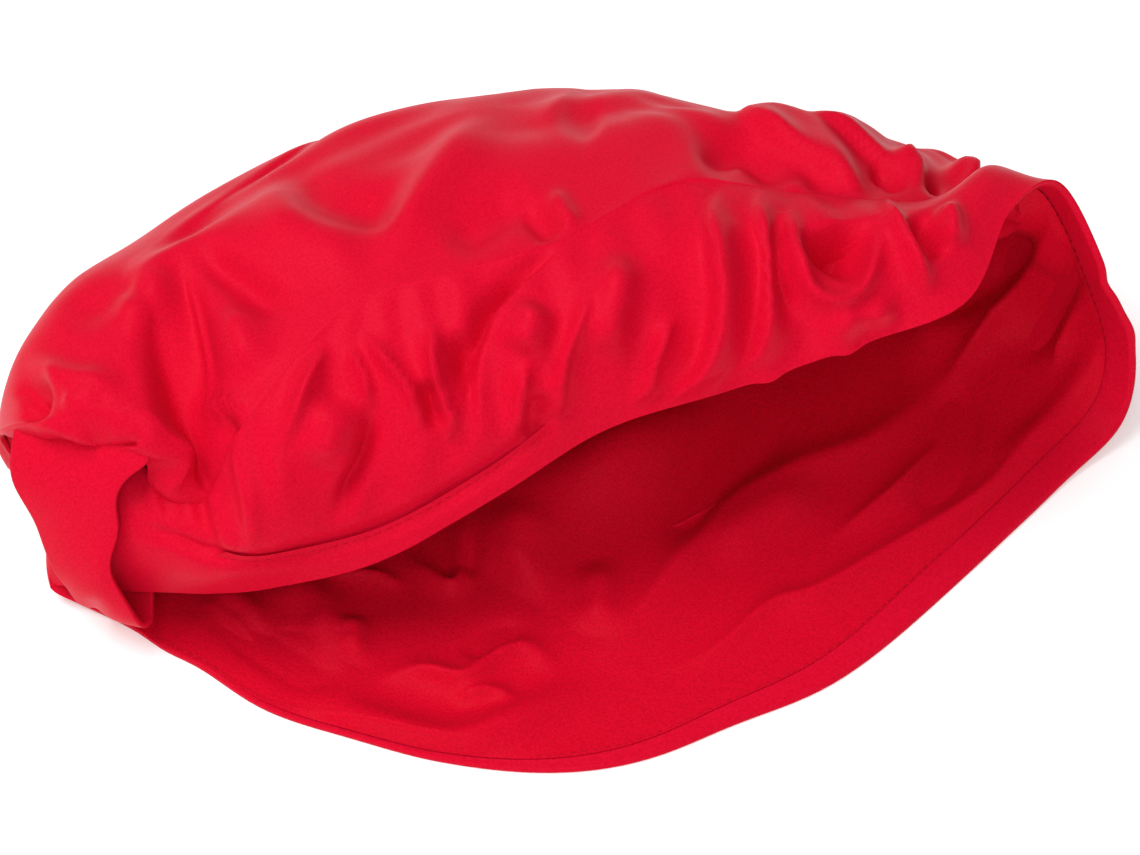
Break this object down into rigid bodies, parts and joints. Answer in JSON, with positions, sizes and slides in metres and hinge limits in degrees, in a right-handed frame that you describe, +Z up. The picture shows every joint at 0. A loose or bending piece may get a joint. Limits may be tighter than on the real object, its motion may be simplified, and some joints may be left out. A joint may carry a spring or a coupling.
{
  "type": "sleep bonnet",
  "caption": "Soft double-layer satin sleep bonnet lying on its side, with a gathered pouch, a ruched band with a knot at the forehead, and an open mouth for the head.",
  "frame": {"origin": "on the surface that the bonnet lies on, under the middle of its outline", "axes": "+X from the knot at the forehead towards the nape, +Y from the mouth towards the tip of the crown, +Z up"},
  "size_m": [0.3027, 0.2056, 0.0926],
  "materials": {
    "crown": "red silk satin",
    "band": "red silk satin",
    "lining": "red silk satin",
    "knot_loop": "red silk satin"
  },
  "bodies": {
    "root": {"crown": "crown", "band": "band", "lining": "lining", "knot_loop": "knot_loop"}
  },
  "joints": []
}
